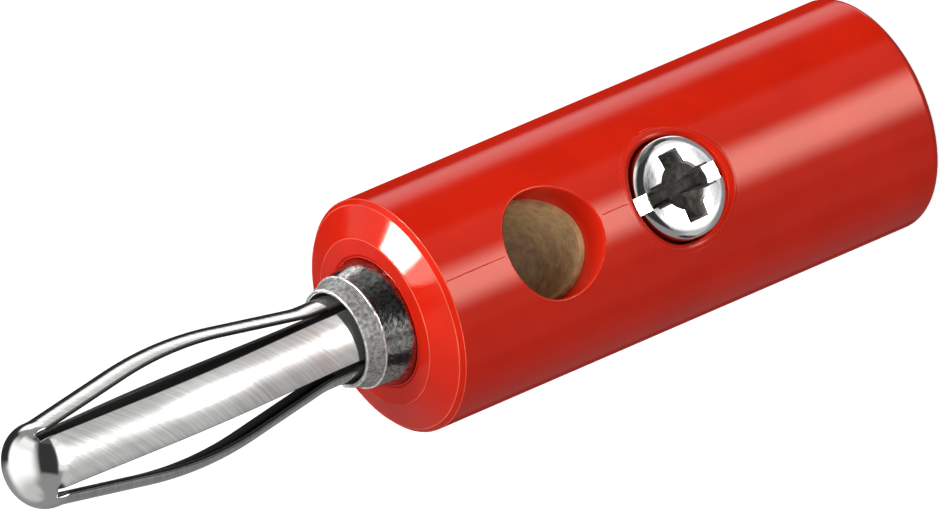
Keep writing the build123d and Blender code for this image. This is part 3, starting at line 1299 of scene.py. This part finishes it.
    def thread_rule(self) -> GeometryBench:
        """Builds the tree that winds the thread's ridge round the shank.

        Returns:
            The bench with the finished tree.
        """
        bench = GeometryBench("thread_rule")
        core, ridge, pitch, length, foot, axis_height = (bench.named(name) for name in (
            "Core Radius", "Ridge Height", "Pitch", "Length", "Foot", "Axis Height",
        ))
        helix = bench.add("GeometryNodeCurveSpiral", {
            "Resolution": self.thread_points, "Rotations": bench.math("DIVIDE", length, pitch),
            "Start Radius": core, "End Radius": core, "Height": length,
        })
        section = bench.add("GeometryNodeCurvePrimitiveCircle", {"Resolution": self.thread_sides, "Radius": ridge})
        ridge_mesh = bench.add("GeometryNodeCurveToMesh", {
            "Curve": helix.outputs["Curve"], "Profile Curve": section.outputs["Curve"], "Fill Caps": True,
        })
        spot = bench.add("ShaderNodeCombineXYZ", {"Y": bench.math("MULTIPLY", foot, -1.0), "Z": axis_height})
        seated = bench.add("GeometryNodeTransform", {
            "Geometry": ridge_mesh.outputs[0], "Translation": spot.outputs[0],
            "Rotation": (math.radians(90.0), 0.0, 0.0),
        })
        bench.finish(seated.outputs[0])
        return bench

    def build(self, nodes: Nodes) -> None:
        """Makes the screw over its CAD node, and its thread.

        Args:
            nodes: CAD nodes by name. Not used.
        """
        finish = self.finish.build()
        mesh = self.cut_screw()
        mesh.materials.clear()
        mesh.materials.append(finish)
        screw = place_mesh("clamp_screw_cut", mesh)
        settle(screw, Rides.SCREW)
        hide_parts("clamp_screw")
        thread = self.thread_rule().grow("clamp_screw_thread", bpy.data.meshes.new("thread_host"), {
            "Core Radius": (self.shank_radius - self.thread_sink) * MM,
            "Ridge Height": self.thread_height * MM,
            "Pitch": self.thread_pitch * MM,
            "Length": (self.underside - self.tip - 2 * self.tip_bevel) * MM,
            "Foot": (self.tip + self.thread_start * self.tip_bevel) * MM,
            "Axis Height": self.axis_height * MM,
            "Material": finish,
        })
        settle(thread, Rides.SCREW)
        LOG.info("clamp screw made: %d faces", len(mesh.polygons))


@dataclass(frozen=True)
class PhotoCamera:
    """Long-lens camera at the photograph's viewing angle, rolled as the plug lies there."""

    place: Direction = (-0.023541, -0.776386, 0.498535)
    right: Direction = (-0.40862, -0.46951, -0.78268)
    back: Direction = (-0.02688, -0.85098, 0.52451)
    lens: float = 865.83
    film_width: float = 36.0
    clip: Point = (0.05, 10.0)

    def axes(self) -> tuple[Vector, Vector, Vector]:
        """The picture's right, its up and the direction back to the viewer.

        Returns:
            Three unit vectors in the row frame.
        """
        back = Vector(self.back).normalized()
        right = Vector(self.right)
        right = (right - back * right.dot(back)).normalized()
        return right, back.cross(right), back

    def build(self) -> None:
        """Makes the camera and hands it to the scene."""
        data = bpy.data.cameras.new("photo_camera")
        data.lens = self.lens
        data.sensor_width = self.film_width
        data.clip_start, data.clip_end = self.clip
        camera = into_scene("photo_camera", data)
        turn = Matrix(self.axes()).transposed().to_4x4()
        camera.matrix_world = Matrix.Translation(Vector(self.place)) @ turn
        bpy.context.scene.camera = camera


@dataclass(frozen=True)
class Lamp:
    """A square soft lamp that faces the plug and lights it without a mirror image."""

    name: str
    towards: Direction
    level: float
    width: float = 0.45
    distance: float = 0.6
    aim: Direction = (0.0, 0.0, 0.022)

    def build(self) -> None:
        """Makes the lamp."""
        data = bpy.data.lights.new(self.name, "AREA")
        data.shape = "SQUARE"
        data.size = self.width
        data.energy = self.level * math.pi * self.width**2
        away = Vector(self.towards).normalized()
        lamp = into_scene(self.name, data)
        turn = away.to_track_quat("Z", "Y").to_matrix().to_4x4()
        lamp.matrix_world = Matrix.Translation(Vector(self.aim) + away * self.distance) @ turn
        lamp.visible_camera = False
        lamp.visible_glossy = False


@dataclass(frozen=True)
class Panel:
    """A bright box or dark flag around the plug, as its gloss mirrors it.

    Angles are in degrees around the photograph: azimuth 0 is the viewer's side, 90 the
    picture's right, and elevation 90 its upper edge.
    """

    name: str
    azimuth: float
    elevation: float
    half_width: float
    half_height: float
    level: float
    softness: float = 3.0

    def cover(self, bench: NodeBench, azimuth: Socket,
              elevation: Socket) -> Socket:
        """How far a direction lies inside the panel.

        Args:
            bench: Bench of the world's tree.
            azimuth: The direction's azimuth in degrees.
            elevation: The direction's elevation in degrees.

        Returns:
            1 inside, 0 outside, with a soft edge.
        """
        turn = bench.add("ShaderNodeMath", {
            0: bench.math("SUBTRACT", azimuth, self.azimuth), 1: 180.0, 2: -180.0,
        }, operation="WRAP")
        aside = bench.math("ABSOLUTE", turn.outputs[0])
        above = bench.math("ABSOLUTE", bench.math("SUBTRACT", elevation, self.elevation))
        soft = self.softness
        across = bench.between(aside, (self.half_width - soft, self.half_width + soft), (1.0, 0.0), True)
        along = bench.between(above, (self.half_height - soft, self.half_height + soft), (1.0, 0.0), True)
        return bench.math("MULTIPLY", across, along)


@dataclass
class Studio:
    """Pale floor, soft lamps and the bright and dark panels that metal needs."""

    camera: PhotoCamera
    ambient: float = 0.12
    lamps: tuple[Lamp, ...] = (
        Lamp("upper_lamp", (0.836, -0.224, 0.50), 6.9),
        Lamp("lower_lamp", (-0.366, -0.785, 0.50), 4.5),
        Lamp("front_lamp", (0.0, -0.17, 0.985), 1.5),
        Lamp("rear_lamp", (0.0, 1.0, 0.0), 2.6),
    )
    surroundings: float = 0.30
    floor_reach: float = 3.0
    floor_lift: float = 0.82
    panels: tuple[Panel, ...] = (
        Panel("left_glow", -98.0, -52.0, 48.0, 22.0, 0.62, 14.0),
        Panel("left_box", -80.0, -4.0, 42.0, 33.0, 1.25, 15.0),
        Panel("left_upper_box", -66.0, 38.0, 28.0, 12.0, 1.10, 8.0),
        Panel("right_box", 60.0, 27.5, 25.0, 41.5, 0.95, 6.0),
        Panel("right_lower_box", 78.0, -28.0, 20.0, 14.0, 0.60, 8.0),
        Panel("viewer_flag", 8.0, 15.0, 33.0, 42.0, 0.04, 5.0),
        Panel("brow_flag", -5.0, 62.0, 50.0, 8.0, 0.10, 5.0),
        Panel("top_flag", 90.0, 82.0, 90.0, 14.0, 0.06, 5.0),
        Panel("rear_left_flag", -152.0, 18.0, 36.0, 22.0, 0.03, 5.0),
        Panel("rear_flag", 160.0, -22.0, 22.0, 22.0, 0.25, 8.0),
        Panel("far_strip", -168.0, 51.0, 34.0, 11.0, 1.7, 6.0),
        Panel("lower_flag", 88.0, -53.0, 26.0, 9.0, 0.03, 5.0),
        Panel("hot_strip", 61.0, 21.5, 8.5, 13.5, 16.0, 9.0),
        Panel("hot_window", -81.2, -3.7, 7.0, 5.8, 140.0, 0.8),
        Panel("window_foot", -71.2, -13.3, 2.4, 4.0, 14.0, 0.8),
    )

    def build(self) -> None:
        """Builds the world, the floor and the lamps."""
        bpy.context.scene.view_settings.view_transform = "Standard"
        self.world()
        self.floor()
        for lamp in self.lamps:
            lamp.build()
        LOG.info("studio built")

    def world(self) -> None:
        """White for the camera, panels for mirror images and a plain level as light."""
        world = bpy.data.worlds.new("studio_surroundings")
        world.use_nodes = True
        bpy.context.scene.world = world
        bench = NodeBench(world.node_tree)
        direction = bench.add("ShaderNodeTexCoord").outputs["Generated"]
        sideways, upwards, backwards = (
            bench.add("ShaderNodeVectorMath", {0: direction, 1: axis}, operation="DOT_PRODUCT").outputs["Value"]
            for axis in self.camera.axes()
        )
        azimuth = bench.math("DEGREES", bench.math("ARCTAN2", sideways, backwards))
        elevation = bench.math("DEGREES", bench.math("ARCSINE", upwards))
        level: Any = (self.surroundings,) * 3 + (1.0,)
        for panel in self.panels:
            level = bench.blend(panel.cover(bench, azimuth, elevation), level, (panel.level,) * 3 + (1.0,))
        path = bench.add("ShaderNodeLightPath")
        seen = bench.math("ADD", path.outputs["Is Camera Ray"], path.outputs["Is Transmission Ray"], clamp=True)
        light = bench.blend(path.outputs["Is Glossy Ray"], (self.ambient,) * 3 + (1.0,), level)
        light = bench.blend(seen, light, (1.0, 1.0, 1.0, 1.0))
        glow = bench.add("ShaderNodeBackground", {"Color": light, "Strength": 1.0})
        bench.add("ShaderNodeOutputWorld", {"Surface": glow.outputs[0]})

    def floor(self) -> None:
        """Pale floor that keeps the plug's shadow and lets light from below past it."""
        size = self.floor_reach
        mesh = bpy.data.meshes.new("floor")
        corners = [(-size, -size, 0), (size, -size, 0), (size, size, 0), (-size, size, 0)]
        mesh.from_pydata(corners, [], [(0, 1, 2, 3)])
        material, bench = new_material("pale_floor")
        grain = bench.noise(bench.stretched((40.0, 40.0, 40.0)), 1.0, 2.0)
        colour = bench.ramp(grain, [(0.3, (0.30, 0.30, 0.30)), (0.7, (0.32, 0.32, 0.32))])
        matt = bench.add("ShaderNodeBsdfDiffuse", {"Color": colour})
        path = bench.add("ShaderNodeLightPath")
        seen = bench.math("ADD", path.outputs["Is Camera Ray"], path.outputs["Is Glossy Ray"])
        seen = bench.math("ADD", seen, path.outputs["Is Transmission Ray"], clamp=True)
        lift = bench.math("MULTIPLY", seen, self.floor_lift)
        glow = bench.add("ShaderNodeEmission", {"Color": (1.0, 1.0, 1.0, 1.0), "Strength": lift})
        both = bench.add("ShaderNodeAddShader", {0: matt.outputs[0], 1: glow.outputs[0]})
        bench.add("ShaderNodeOutputMaterial", {"Surface": both.outputs[0]})
        mesh.materials.append(material)
        floor = into_scene("floor", mesh)
        floor.visible_shadow = False
        floor.visible_glossy = False
        floor.visible_diffuse = False


def main() -> None:
    """Loads the frame, dresses its parts and sets the studio up."""
    logging.basicConfig(level=logging.INFO, format="%(name)s: %(message)s")
    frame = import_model()
    nodes = frame["nodes"]
    for part in (Sleeve(), ContactInsert(), SpringCage(), ClampScrew()):
        part.build(nodes)
    camera = PhotoCamera()
    camera.build()
    Studio(camera).build()


if __name__ == "__main__":
    main()
